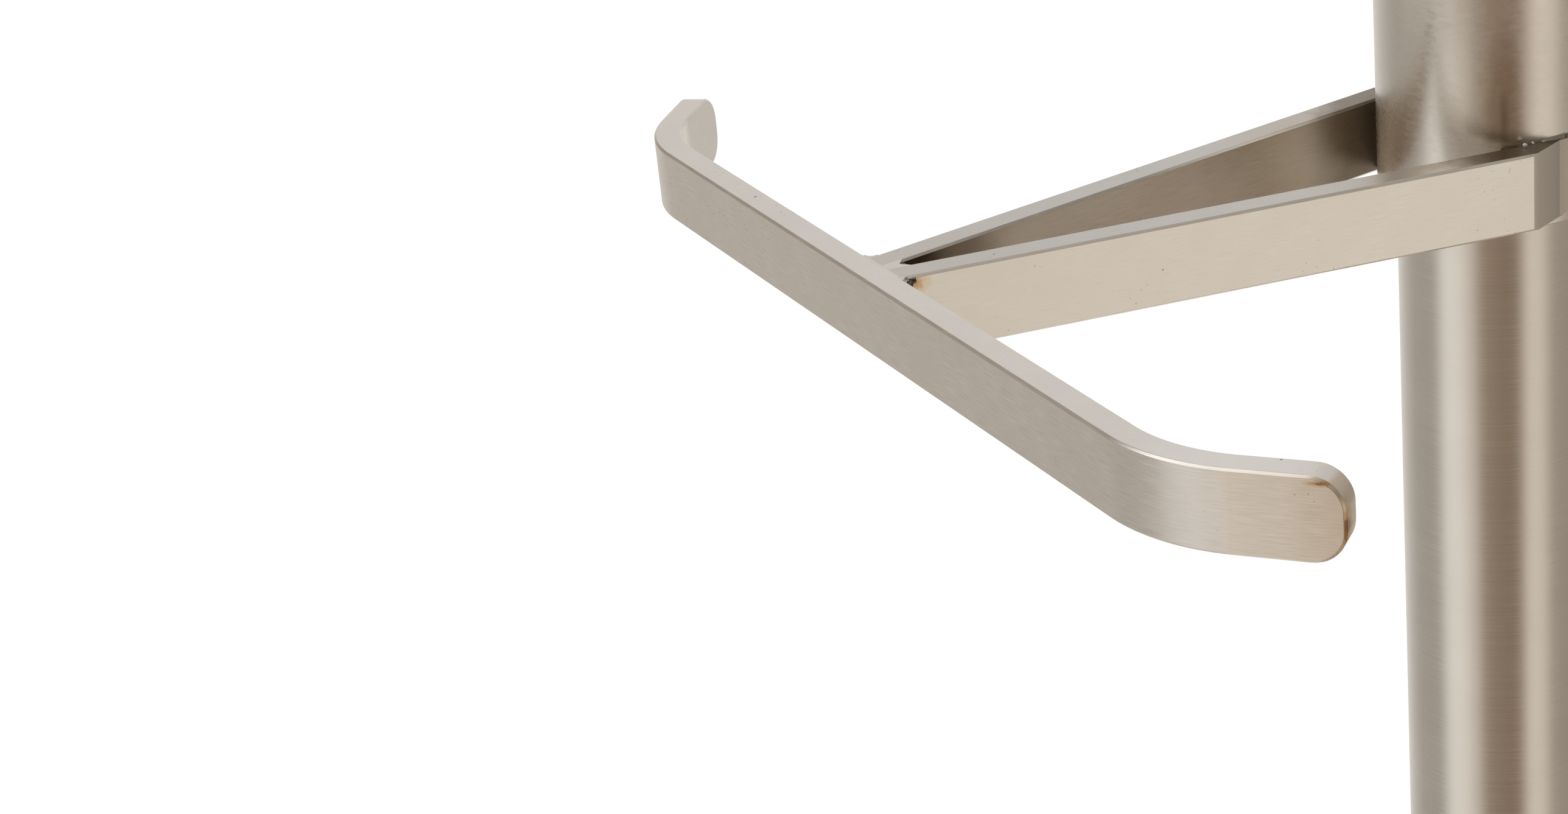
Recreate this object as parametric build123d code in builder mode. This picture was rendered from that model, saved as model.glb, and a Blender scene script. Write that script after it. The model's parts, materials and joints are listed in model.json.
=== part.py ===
from build123d import *
import math
import os

# Valet stand: a round floor plate, a round post, and a coat hanger head that turns on
# the post. All sizes are millimetres. Z is up, the post's axis is the Z axis, the origin
# is on that axis at the floor, and the hanger reaches forward along -Y.

# ---- driving dimensions -------------------------------------------------------------
# flat bar stock of the hanger
bar_height = 25.0
bar_thickness = 10.0
bar_edge = 0.9            # ground bevel along the bar's long edges
leg_height = 26.3         # the legs stand a little lower than the crossbar's underside

# stand
pad_thickness = 3.0
plate_diameter = 380.0
plate_thickness = 10.0
post_diameter = 63.5
post_wall = 2.0
sleeve_diameter = 76.1
sleeve_wall = 2.6

# heights above the floor
bar_top = 1050.0
sleeve_top = 1125.0
head_disc_underside = 1093.0

# hanger in plan
reach = 238.0             # post axis to the crossbar's front face
half_straight = 150.5     # middle of the crossbar to the start of a bent end
bend_radius = 59.0        # outside radius of a bent end
bend_angle = 41.2         # degrees that each end turns back towards the post
tail_length = 30.0        # straight length beyond a bend
tip_radius = 10.0         # rounded corners of the crossbar's two ends
leg_angle = 9.3           # degrees between a leg and the middle plane
leg_cut_back = 9.3        # from the tangent point forward to the slanted rear cut
leg_overrun = 6.5         # from the tangent point back to the tip of that cut

# fits
running_gap = 0.05        # radial clearance of a part that turns on another
slip_gap = 0.3            # radial clearance of a part that only slips over another
thread_gap = 0.05         # radial clearance between a screw's envelope and its hole

# hardware
base_screw_radius = 6.0
base_screw_head_radius = 12.0
base_screw_length = 34.0
screw_inset = 0.3         # head below the plate's underside
screw_lip = 0.4           # straight rim of the countersunk head
pivot_radius = 6.0        # plain shoulder of the pivot screw
pivot_thread_radius = 5.0
bush_length = 20.0

# ---- derived dimensions -------------------------------------------------------------
post_radius = post_diameter / 2
post_bore = post_radius - post_wall
sleeve_radius = sleeve_diameter / 2
sleeve_bore = sleeve_radius - sleeve_wall
plate_top = pad_thickness + plate_thickness
bar_bottom = bar_top - bar_height
front_y = -reach
back_y = front_y + bar_thickness
leg_bottom = bar_top - leg_height
sleeve_bottom = leg_bottom - 3.0
face_gap = 0.05           # axial gap between faces that turn on each other

os.makedirs("parts", exist_ok=True)


def save(part, node):
    """Label one finished piece and write it under its node name."""
    part.label = node
    export_step(part, f"parts/{node}.step")


# ---- floor plate and what holds the post to it ----------------------------------------
with BuildPart() as floor_pad:
    with BuildSketch():
        Circle(plate_diameter / 2 - 4)
    extrude(amount=pad_thickness)
    chamfer(floor_pad.edges().group_by(Axis.Z)[0], 0.6)
save(floor_pad.part, "floor_pad")

with BuildPart() as base_plate:
    with BuildSketch(Plane.XY.offset(pad_thickness)):
        Circle(plate_diameter / 2)
    extrude(amount=plate_thickness)
    fillet(base_plate.edges().group_by(Axis.Z)[-1], 3)
    chamfer(base_plate.edges().group_by(Axis.Z)[0], 1)
    with Locations(base_plate.faces().sort_by(Axis.Z)[0]):
        CounterSinkHole(
            radius=base_screw_radius + slip_gap,
            counter_sink_radius=base_screw_head_radius + screw_inset + screw_lip + thread_gap,
            counter_sink_angle=90,
        )
save(base_plate.part, "base_plate")

# tapped plug pressed into the foot of the post
foot_plug_height = 30.0
foot_thread_depth = 26.0
with BuildPart() as foot_plug:
    with BuildSketch(Plane.XY.offset(plate_top)):
        Circle(post_bore)
    extrude(amount=foot_plug_height)
    chamfer(foot_plug.edges().group_by(Axis.Z)[-1], 1)
    with BuildSketch(Plane.XY.offset(plate_top)):
        Circle(base_screw_radius + thread_gap)
    extrude(amount=foot_thread_depth, mode=Mode.SUBTRACT)
save(foot_plug.part, "foot_plug")

# countersunk screw from below, with a hexagon socket in its head
base_screw_z = pad_thickness + screw_inset
head_depth = base_screw_head_radius - base_screw_radius
with BuildPart() as base_screw:
    with BuildSketch(Plane.XZ):
        with BuildLine():
            Polyline(
                (0, base_screw_z),
                (base_screw_head_radius, base_screw_z),
                (base_screw_head_radius, base_screw_z + screw_lip),
                (base_screw_radius, base_screw_z + screw_lip + head_depth),
                (base_screw_radius, base_screw_z + base_screw_length - 1),
                (base_screw_radius - 1, base_screw_z + base_screw_length),
                (0, base_screw_z + base_screw_length),
                close=True,
            )
        make_face()
    revolve(axis=Axis.Z)
    with BuildSketch(Plane.XY.offset(base_screw_z)):
        RegularPolygon(radius=4, side_count=6, major_radius=False)
    extrude(amount=5, mode=Mode.SUBTRACT)
save(base_screw.part, "base_screw")

# spun rosette that covers the joint between the post and the plate
rosette_radius = 60.0
rosette_height = 9.0
rosette_wall = 1.5
rosette_hole = post_radius + slip_gap
with BuildPart() as foot_rosette:
    with BuildSketch(Plane.XY.offset(plate_top)):
        Circle(rosette_radius)
    extrude(amount=rosette_height)
    fillet(foot_rosette.edges().group_by(Axis.Z)[-1], 4)
    with BuildSketch(Plane.XY.offset(plate_top)):
        Circle(rosette_radius - rosette_wall)
    extrude(amount=rosette_height - 4, mode=Mode.SUBTRACT)
    with BuildSketch(Plane.XY.offset(plate_top)):
        Circle(rosette_radius - 4)
    extrude(amount=rosette_height - rosette_wall, mode=Mode.SUBTRACT)
    with BuildSketch(Plane.XY.offset(plate_top)):
        Circle(rosette_hole)
    extrude(amount=rosette_height, mode=Mode.SUBTRACT)
save(foot_rosette.part, "foot_rosette")

# ---- post --------------------------------------------------------------------------
thrust_thickness = 2.0
top_flange = 3.0
top_plug_top = head_disc_underside - face_gap - thrust_thickness
post_top = top_plug_top - top_flange

with BuildPart() as post_tube:
    with BuildSketch(Plane.XY.offset(plate_top)):
        Circle(post_radius)
        Circle(post_bore, mode=Mode.SUBTRACT)
    extrude(amount=post_top - plate_top)
save(post_tube.part, "post_tube")

# flanged plug that closes the post and takes the pivot screw
top_plug_depth = 24.0
with BuildPart() as top_plug:
    with BuildSketch(Plane.XY.offset(post_top - top_plug_depth)):
        Circle(post_bore)
    extrude(amount=top_plug_depth)
    with BuildSketch(Plane.XY.offset(post_top)):
        Circle(post_radius - 0.5)
    extrude(amount=top_flange)
    with BuildSketch(Plane.XY.offset(post_top - top_plug_depth)):
        Circle(pivot_thread_radius + thread_gap)
    extrude(amount=top_plug_depth + top_flange, mode=Mode.SUBTRACT)
save(top_plug.part, "top_plug")

with BuildPart() as thrust_washer:
    with BuildSketch(Plane.XY.offset(top_plug_top)):
        Circle(28)
        Circle(pivot_radius + slip_gap, mode=Mode.SUBTRACT)
    extrude(amount=thrust_thickness)
save(thrust_washer.part, "thrust_washer")

# ---- head: sleeve, its carrying disc, bushes and cap -------------------------------------
with BuildPart() as head_sleeve:
    with BuildSketch(Plane.XY.offset(sleeve_bottom)):
        Circle(sleeve_radius)
        Circle(sleeve_bore, mode=Mode.SUBTRACT)
    extrude(amount=sleeve_top - sleeve_bottom)
    chamfer(head_sleeve.edges().group_by(Axis.Z)[0], 0.4)
save(head_sleeve.part, "head_sleeve")

head_disc_thickness = 8.0
head_disc_top = head_disc_underside + head_disc_thickness
with BuildPart() as head_disc:
    with BuildSketch(Plane.XY.offset(head_disc_underside)):
        Circle(sleeve_bore)
        Circle(pivot_radius + running_gap, mode=Mode.SUBTRACT)
    extrude(amount=head_disc_thickness)
save(head_disc.part, "head_disc")


def bush_at(z):
    """Nylon bush pressed into the sleeve that runs on the post."""
    with BuildPart() as bush:
        with BuildSketch(Plane.XY.offset(z)):
            Circle(sleeve_bore)
            Circle(post_radius + running_gap, mode=Mode.SUBTRACT)
        extrude(amount=bush_length)
        chamfer(bush.edges().filter_by(GeomType.CIRCLE).sort_by(SortBy.RADIUS)[:2], 0.5)
    return bush.part


save(bush_at(sleeve_bottom + 1), "lower_bush")
save(bush_at(post_top - bush_length - 4), "upper_bush")

cap_thickness = 4.0
cap_spigot = 8.0
with BuildPart() as head_cap:
    with BuildSketch(Plane.XY.offset(sleeve_top)):
        Circle(sleeve_radius)
    extrude(amount=cap_thickness)
    fillet(head_cap.edges().group_by(Axis.Z)[-1], 1.5)
    with BuildSketch(Plane.XY.offset(sleeve_top - cap_spigot)):
        Circle(sleeve_bore)
        Circle(sleeve_bore - 3, mode=Mode.SUBTRACT)
    extrude(amount=cap_spigot)
save(head_cap.part, "head_cap")

# ---- pivot stack above the carrying disc ------------------------------------------------
glide_thickness = 1.5
spring_thickness = 1.6
glide_z = head_disc_top + face_gap
with BuildPart() as glide_washer:
    with BuildSketch(Plane.XY.offset(glide_z)):
        Circle(15)
        Circle(pivot_radius + slip_gap, mode=Mode.SUBTRACT)
    extrude(amount=glide_thickness)
save(glide_washer.part, "glide_washer")

# coned disc spring: a thin ring whose inner edge stands higher than its outer edge
spring_z = glide_z + glide_thickness
spring_plate = 1.0
with BuildPart() as disc_spring:
    with BuildSketch(Plane.XZ):
        with BuildLine():
            Polyline(
                (pivot_radius + slip_gap, spring_z + spring_thickness - spring_plate),
                (12.5, spring_z),
                (12.5, spring_z + spring_plate),
                (pivot_radius + slip_gap, spring_z + spring_thickness),
                close=True,
            )
        make_face()
    revolve(axis=Axis.Z)
save(disc_spring.part, "disc_spring")

# shoulder screw: threaded shank in the post plug, plain shoulder through the disc
pivot_head_z = spring_z + spring_thickness
pivot_head_radius = 9.0
pivot_head_height = 6.0
pivot_shank = 20.0
with BuildPart() as pivot_screw:
    with BuildSketch(Plane.XZ):
        with BuildLine():
            Polyline(
                (0, top_plug_top - pivot_shank),
                (pivot_thread_radius - 1, top_plug_top - pivot_shank),
                (pivot_thread_radius, top_plug_top - pivot_shank + 1),
                (pivot_thread_radius, top_plug_top),
                (pivot_radius, top_plug_top),
                (pivot_radius, pivot_head_z),
                (pivot_head_radius, pivot_head_z),
                (pivot_head_radius, pivot_head_z + pivot_head_height),
                (0, pivot_head_z + pivot_head_height),
                close=True,
            )
        make_face()
    revolve(axis=Axis.Z)
    with BuildSketch(Plane.XY.offset(pivot_head_z + pivot_head_height)):
        RegularPolygon(radius=3, side_count=6, major_radius=False)
    extrude(amount=-4, mode=Mode.SUBTRACT)
save(pivot_screw.part, "pivot_screw")

# ---- hanger: crossbar -----------------------------------------------------------------
with BuildPart() as crossbar:
    with BuildSketch(Plane.XY.offset(bar_bottom)):
        with BuildLine():
            front = Line((0, front_y), (half_straight, front_y))
            front_bend = JernArc(front @ 1, front % 1, bend_radius, bend_angle)
            front_tail = Line(front_bend @ 1, front_bend @ 1 + (front_bend % 1) * tail_length)
            back = Line((0, back_y), (half_straight, back_y))
            back_bend = JernArc(back @ 1, back % 1, bend_radius - bar_thickness, bend_angle)
            back_tail = Line(back_bend @ 1, back_bend @ 1 + (back_bend % 1) * tail_length)
            Line(front_tail @ 1, back_tail @ 1)
            mirror(about=Plane.YZ)
        make_face()
    extrude(amount=bar_height)
    end_faces = crossbar.faces().sort_by(Axis.X)
    end_corners = end_faces[0].edges() + end_faces[-1].edges()
    fillet(end_corners.filter_by(lambda e: abs((e % 0.5).Z) < 0.01), tip_radius)
    # every edge but the short ones across the bar and the upright seams of the bends
    long_edges = crossbar.edges().filter_by(
        lambda e: min(abs(e.length - bar_thickness), abs(e.length - bar_height)) > 0.01
    )
    chamfer(long_edges, bar_edge)
save(crossbar.part, "crossbar")

# ---- hanger: legs ---------------------------------------------------------------------
lean = math.radians(leg_angle)
forward = Vector(-math.sin(lean), -math.cos(lean))      # along the right leg, to the crossbar
outward = Vector(math.cos(lean), -math.sin(lean))       # square to it, away from the middle


def at_crossbar(distance):
    """Where the line at this distance outward from the post axis meets the crossbar."""
    start = outward * distance
    return start + forward * ((back_y - start.Y) / forward.Y)


tangent_point = outward * sleeve_radius
heel = tangent_point - forward * leg_overrun
outer_corner = outward * (sleeve_radius + bar_thickness) + forward * leg_cut_back
inner_front = at_crossbar(sleeve_radius)
outer_front = at_crossbar(sleeve_radius + bar_thickness)


with BuildPart() as right_leg:
    with BuildSketch(Plane.XY.offset(leg_bottom)):
        with BuildLine():
            Polyline(heel, outer_corner, outer_front, inner_front, close=True)
        make_face()
    extrude(amount=leg_height)
    leg_edges = right_leg.edges().filter_by(lambda e: abs((e % 0.5).dot(forward)) > 0.999)
    chamfer(leg_edges, bar_edge)
save(right_leg.part, "right_leg")

with BuildPart() as left_leg:
    add(mirror(right_leg.part, about=Plane.YZ))
save(left_leg.part, "left_leg")

# ---- hanger: weld beads -----------------------------------------------------------------
weld_inset = bar_edge     # beads stop short of the bars' top and bottom faces
weld_height = bar_height - 2 * weld_inset
weld_plane = Plane.XY.offset(bar_bottom + weld_inset)
root_fill = 6.0           # weld in the narrow gap between the legs, behind the crossbar
corner_leg = 3.0          # leg length of the small fillet outside each leg

inner_fill_end = inner_front - forward * (root_fill / math.cos(lean))
fillet_on_leg = outer_front - forward * corner_leg
fillet_on_bar = outer_front + Vector(corner_leg, 0)
with BuildPart() as crossbar_weld:
    with BuildSketch(weld_plane):
        with BuildLine():
            Polyline((0, back_y), inner_front, inner_fill_end, (0, inner_fill_end.Y - 0.8))
            mirror(about=Plane.YZ)
        make_face()
        with BuildLine():
            Line(outer_front, fillet_on_leg)
            RadiusArc(fillet_on_leg, fillet_on_bar, corner_leg * 1.3)
            Line(fillet_on_bar, outer_front)
        make_face()
        mirror(about=Plane.YZ)
    extrude(amount=weld_height)
    with BuildSketch(Plane.XY.offset(bar_top - bar_edge)):
        with BuildLine():
            Polyline(
                (0, back_y - bar_edge),
                (outer_front.X - bar_edge, back_y - bar_edge),
                (outer_front.X - bar_edge, back_y),
                (inner_front.X + 2 * bar_edge, back_y),
                inner_fill_end + Vector(2 * bar_edge, 0),
                (0, inner_fill_end.Y),
            )
            mirror(about=Plane.YZ)
        make_face()
    extrude(amount=bar_edge)
    for bar in (crossbar.part, right_leg.part, left_leg.part):
        add(bar, mode=Mode.SUBTRACT)
save(crossbar_weld.part, "crossbar_weld")

inside_run = 15.0         # bead in the narrow wedge between a leg and the sleeve
outside_run = 8.5         # bead behind the slanted cut, from the tangent point back


def on_sleeve(along):
    """Point of the sleeve's surface that lies this far along the leg from the tangent."""
    depth = math.sqrt(sleeve_radius**2 - along**2)
    return outward * depth + forward * along


with BuildPart() as right_leg_weld:
    with BuildSketch(weld_plane):
        with BuildLine():
            Line(tangent_point, tangent_point + forward * inside_run)
            Line(tangent_point + forward * inside_run, on_sleeve(inside_run))
            ThreePointArc(on_sleeve(inside_run), on_sleeve(inside_run / 2), tangent_point)
        make_face()
        with BuildLine():
            Line(tangent_point, heel)
            Line(heel, on_sleeve(-outside_run))
            ThreePointArc(on_sleeve(-outside_run), on_sleeve(-outside_run / 2), tangent_point)
        make_face()
    extrude(amount=weld_height)
save(right_leg_weld.part, "right_leg_weld")

with BuildPart() as left_leg_weld:
    add(mirror(right_leg_weld.part, about=Plane.YZ))
save(left_leg_weld.part, "left_leg_weld")
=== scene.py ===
import json
import math

import bmesh
import bpy
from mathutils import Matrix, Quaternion, Vector, noise


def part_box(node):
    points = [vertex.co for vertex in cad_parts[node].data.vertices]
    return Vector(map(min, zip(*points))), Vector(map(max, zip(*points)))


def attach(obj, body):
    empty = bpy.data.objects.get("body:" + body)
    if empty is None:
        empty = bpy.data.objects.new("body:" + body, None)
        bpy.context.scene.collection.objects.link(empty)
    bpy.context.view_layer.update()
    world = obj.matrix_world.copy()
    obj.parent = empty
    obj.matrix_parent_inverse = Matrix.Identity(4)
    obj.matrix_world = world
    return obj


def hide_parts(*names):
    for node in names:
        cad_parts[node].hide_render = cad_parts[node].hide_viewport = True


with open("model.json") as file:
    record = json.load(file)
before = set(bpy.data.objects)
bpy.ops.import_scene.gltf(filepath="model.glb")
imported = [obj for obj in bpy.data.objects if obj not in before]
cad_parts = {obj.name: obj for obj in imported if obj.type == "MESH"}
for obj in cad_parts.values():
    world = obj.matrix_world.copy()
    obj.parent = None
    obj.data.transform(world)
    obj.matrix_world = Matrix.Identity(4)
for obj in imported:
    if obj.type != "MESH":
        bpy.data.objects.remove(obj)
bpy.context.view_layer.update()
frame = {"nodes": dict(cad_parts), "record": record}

NODES = frame["nodes"]
MM = 0.001

# ---- the hanger's plan, as the CAD has it -------------------------------------------------
BAR_THICKNESS = 10 * MM
HALF_STRAIGHT = 150.5 * MM
BEND_RADIUS = 59 * MM
BEND_ANGLE = math.radians(41.2)
TAIL_LENGTH = 30 * MM
TIP_RADIUS = 10 * MM
EDGE_WIDTH = 0.9 * MM
BEND_LENGTH = BEND_RADIUS * BEND_ANGLE
BAR_HALF = HALF_STRAIGHT + BEND_LENGTH + TAIL_LENGTH

# The legs slant towards each other. A leg's rear cut starts LEG_CUT_BACK ahead of its tangent
# point, on the outer face, and ends LEG_OVERRUN behind it, on the inner face. LEG_LENGTH only
# scales the stations along a leg.
LEG_ANGLE = math.radians(9.3)
LEG_CUT_BACK = 9.3 * MM
LEG_OVERRUN = 6.5 * MM
LEG_LENGTH = 225 * MM

# How far the weld fills the root between the legs, behind the crossbar.
ROOT_FILL = 7.6 * MM

# ---- places read from the frame -----------------------------------------------------------
bar_low, bar_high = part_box("crossbar")
FRONT_Y = bar_low.y
BACK_Y = FRONT_Y + BAR_THICKNESS
BAR_TOP, BAR_BOTTOM = bar_high.z, bar_low.z
LEG_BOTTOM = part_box("right_leg")[0].z
SLEEVE_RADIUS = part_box("head_sleeve")[1].x

# The one deep pit in the crossbar's top, in plan.
PIT_ON_TOP = (-87.85 * MM, -232.33 * MM)

# The side of the stand that the camera is on, as an angle from +X about the post.
CAMERA_BEARING = math.radians(-36.6)


# ---- shader graphs ------------------------------------------------------------------------
class Graph:
    """Short names for making and linking the nodes of one tree."""

    def __init__(self, tree):
        self.tree = tree
        tree.nodes.clear()

    def node(self, kind, inputs=None, **properties):
        made = self.tree.nodes.new("ShaderNode" + kind)
        for name, value in properties.items():
            setattr(made, name, value)
        for name, value in (inputs or {}).items():
            self.feed(made.inputs[name], value)
        return made

    def feed(self, socket, value):
        if isinstance(value, bpy.types.NodeSocket):
            self.tree.links.new(value, socket)
        elif isinstance(value, tuple) and len(value) == 3 and socket.type == "RGBA":
            socket.default_value = (*value, 1)
        else:
            socket.default_value = value

    def math(self, operation, *values):
        return self.node("Math", dict(enumerate(values)), operation=operation).outputs[0]

    def vector(self, operation, *values):
        made = self.node("VectorMath", dict(enumerate(values)), operation=operation)
        return made.outputs["Value" if operation in ("DOT_PRODUCT", "LENGTH", "DISTANCE") else 0]

    def ranged(self, value, low, high, to_low=0.0, to_high=1.0, smooth=True):
        made = self.node(
            "MapRange",
            {"Value": value, "From Min": low, "From Max": high, "To Min": to_low, "To Max": to_high},
            interpolation_type="SMOOTHSTEP" if smooth else "LINEAR",
        )
        return made.outputs[0]

    def mix(self, factor, a, b, blend="MIX"):
        made = self.node("Mix", data_type="RGBA", blend_type=blend)
        for socket, value in zip((made.inputs[0], made.inputs[6], made.inputs[7]), (factor, a, b)):
            self.feed(socket, value)
        return made.outputs[2]

    def tint(self, base, color):
        return self.mix(1.0, base, color, "MULTIPLY")

    def ramp(self, value, stops):
        made = self.node("ValToRGB", {"Fac": value})
        made.color_ramp.interpolation = "EASE"
        elements = made.color_ramp.elements
        while len(elements) > 1:
            elements.remove(elements[-1])
        for index, (position, color) in enumerate(stops):
            element = elements[0] if index == 0 else elements.new(position)
            element.position = position
            element.color = (*color, 1)
        return made.outputs[0]

    def noise(self, vector, scale, detail=3.0, rough=0.5):
        return self.node(
            "TexNoise", {"Vector": vector, "Scale": scale, "Detail": detail, "Roughness": rough}
        ).outputs["Fac"]


# ---- studio -------------------------------------------------------------------------------
# What the steel reflects: three bands of soft light round the stand. Upright faces mirror the
# low band, flat tops the middle one, and ground edges the high one. Each stop is an angle in
# degrees round the post from the camera's side, and a colour.
LOW_WALL = [
    (-180, (0.98, 0.96, 0.93)),
    (-150, (0.72, 0.69, 0.65)),
    (-132, (0.56, 0.53, 0.49)),
    (-112, (0.435, 0.40, 0.36)),
    (-80, (0.405, 0.375, 0.335)),
    (-58, (0.87, 0.84, 0.79)),
    (-42, (0.85, 0.81, 0.75)),
    (-28, (0.66, 0.60, 0.53)),
    (-11, (0.31, 0.24, 0.18)),
    (25, (0.25, 0.18, 0.13)),
    (46, (0.79, 0.72, 0.625)),
    (56, (0.75, 0.68, 0.59)),
    (80, (0.38, 0.33, 0.28)),
    (135, (0.32, 0.27, 0.22)),
    (158, (0.66, 0.64, 0.60)),
    (180, (0.98, 0.96, 0.93)),
]
MIDDLE_WALL = [
    (-180, (0.70, 0.665, 0.64)),
    (-158, (0.66, 0.62, 0.59)),
    (-130, (0.30, 0.25, 0.21)),
    (-80, (0.36, 0.32, 0.27)),
    (-57, (0.80, 0.76, 0.70)),
    (-34, (0.76, 0.70, 0.64)),
    (-12, (0.26, 0.20, 0.15)),
    (60, (0.30, 0.25, 0.20)),
    (130, (0.42, 0.38, 0.34)),
    (158, (0.66, 0.62, 0.59)),
    (180, (0.70, 0.665, 0.64)),
]
HIGH_WALL = [
    (-180, (0.60, 0.56, 0.52)),
    (-140, (0.34, 0.30, 0.26)),
    (-113, (0.17, 0.14, 0.11)),
    (-99, (0.90, 0.88, 0.84)),
    (-88, (1.60, 1.58, 1.54)),
    (-60, (1.30, 1.27, 1.22)),
    (-36, (0.95, 0.91, 0.86)),
    (-12, (0.45, 0.40, 0.34)),
    (40, (0.44, 0.40, 0.35)),
    (72, (0.33, 0.30, 0.26)),
    (110, (0.30, 0.27, 0.24)),
    (150, (0.50, 0.46, 0.42)),
    (180, (0.60, 0.56, 0.52)),
]
CEILING = (0.70, 0.67, 0.64)


def add_studio_light():
    """World light from the walls and the ceiling, with plain white behind for the camera."""
    world = bpy.data.worlds.new("studio")
    world.use_nodes = True
    bpy.context.scene.world = world
    g = Graph(world.node_tree)
    direction = g.node("TexCoord").outputs["Generated"]
    turned = g.node(
        "VectorRotate", {"Vector": direction, "Angle": -CAMERA_BEARING}, rotation_type="Z_AXIS"
    ).outputs[0]
    x, y, z = g.node("SeparateXYZ", {0: turned}).outputs
    around = g.ranged(g.math("ARCTAN2", y, x), -math.pi, math.pi, smooth=False)
    low, middle, high = (
        g.ramp(around, [((angle + 180) / 360, color) for angle, color in wall])
        for wall in (LOW_WALL, MIDDLE_WALL, HIGH_WALL)
    )
    wall = g.mix(g.ranged(z, -0.12, 0.14), low, middle)
    wall = g.mix(g.ranged(z, 0.44, 0.60), wall, high)
    room = g.mix(g.ranged(z, 0.93, 0.99), wall, CEILING)
    shown = g.mix(g.node("LightPath").outputs["Is Camera Ray"], room, (1.0, 1.0, 1.0))
    background = g.node("Background", {"Color": shown, "Strength": 1.0})
    output = g.node("OutputWorld")
    g.feed(output.inputs["Surface"], background.outputs[0])


def add_floor():
    """A pale floor that steel doesn't mirror, so that the walls' soft bands stay clean."""
    half = 6.0
    mesh = bpy.data.meshes.new("floor")
    corners = [(-half, -half, 0), (half, -half, 0), (half, half, 0), (-half, half, 0)]
    mesh.from_pydata(corners, [], [(0, 1, 2, 3)])
    floor = bpy.data.objects.new("floor", mesh)
    bpy.context.scene.collection.objects.link(floor)
    material = bpy.data.materials.new("floor_paint")
    material.use_nodes = True
    g = Graph(material.node_tree)
    position = g.node("TexCoord").outputs["Object"]
    grain = g.noise(position, 60.0, 4)
    color = g.mix(grain, (0.80, 0.80, 0.80), (0.86, 0.86, 0.86))
    diffuse = g.node("BsdfDiffuse", {"Color": color})
    glow = g.node("Emission", {"Color": (1.0, 1.0, 1.0), "Strength": 0.62})
    both = g.node("AddShader", {0: diffuse.outputs[0], 1: glow.outputs[0]})
    output = g.node("OutputMaterial")
    g.feed(output.inputs["Surface"], both.outputs[0])
    mesh.materials.append(material)
    floor.visible_glossy = False


def add_camera():
    """The photograph's view: from the stand's right and a little above the hanger."""
    azimuth, elevation, roll = (math.radians(angle) for angle in (67.53, 23.06, 6.22))
    forward = Vector((
        -math.sin(azimuth) * math.cos(elevation),
        math.cos(azimuth) * math.cos(elevation),
        -math.sin(elevation),
    ))
    data = bpy.data.cameras.new("camera")
    data.sensor_width = 36.0
    data.sensor_fit = "HORIZONTAL"
    data.lens = 70.46
    data.clip_start = 0.02
    camera = bpy.data.objects.new("camera", data)
    camera.rotation_mode = "QUATERNION"
    camera.location = (0.80655, -0.60022, BAR_TOP + 0.33499)
    camera.rotation_quaternion = forward.to_track_quat("-Z", "Y") @ Quaternion((0, 0, 1), -roll)
    bpy.context.scene.collection.objects.link(camera)
    bpy.context.scene.camera = camera


# ---- materials ----------------------------------------------------------------------------
STEEL = (0.80, 0.765, 0.72)
BAR_STEEL = (0.90, 0.862, 0.815)


def new_material(name):
    material = bpy.data.materials.new(name)
    material.use_nodes = True
    return material, Graph(material.node_tree)


def principled(g, inputs):
    shader = g.node("BsdfPrincipled", inputs)
    output = g.node("OutputMaterial")
    g.feed(output.inputs["Surface"], shader.outputs[0])
    return shader


def scaled(color, factor):
    return tuple(min(1.0, channel * factor) for channel in color)


def scattered_pits(g, place, base, strength):
    """A few deep pits, and patches of fine nicks."""
    for scale, patches, widest, tone in (
        (150.0, 90.0, 0.055, (0.12, 0.10, 0.08)), (420.0, 38.0, 0.13, (0.36, 0.33, 0.28))
    ):
        cells = g.node("TexVoronoi", {"Vector": place, "Scale": scale, "Randomness": 1.0})
        size = g.ranged(g.noise(place, patches, 1), 0.46, 0.72, 0.0, widest, smooth=False)
        pit = g.math("LESS_THAN", cells.outputs["Distance"], size)
        base = g.mix(g.math("MULTIPLY", pit, strength), base, tone)
    return base


def heat_tint(g, place, base, point, size):
    """Straw to brown to grey oxide, strongest at the point and gone beyond size on each axis."""
    offset = g.vector("SUBTRACT", place, point)
    shares = g.vector("DIVIDE", offset, tuple(1.35 * width for width in size))
    wobble = g.math("MULTIPLY", g.noise(place, 400.0, 3), 0.5)
    reach = g.math("ADD", g.vector("LENGTH", shares), wobble)
    heat = g.ramp(reach, [
        (0.0, (0.26, 0.18, 0.13)),
        (0.36, (0.42, 0.23, 0.12)),
        (0.56, (0.76, 0.58, 0.40)),
        (0.80, (0.96, 0.89, 0.78)),
        (1.0, (1.0, 1.0, 1.0)),
    ])
    return g.tint(base, heat)


def from_post(g, place, scale, wander):
    """Distance from the post's axis, made uneven by noise of this scale and size."""
    flat = g.vector("MULTIPLY", place, (1.0, 1.0, 0.0))
    uneven = g.math("MULTIPLY", g.noise(place, scale, 3), wander)
    return g.math("ADD", g.vector("LENGTH", flat), uneven)


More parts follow.
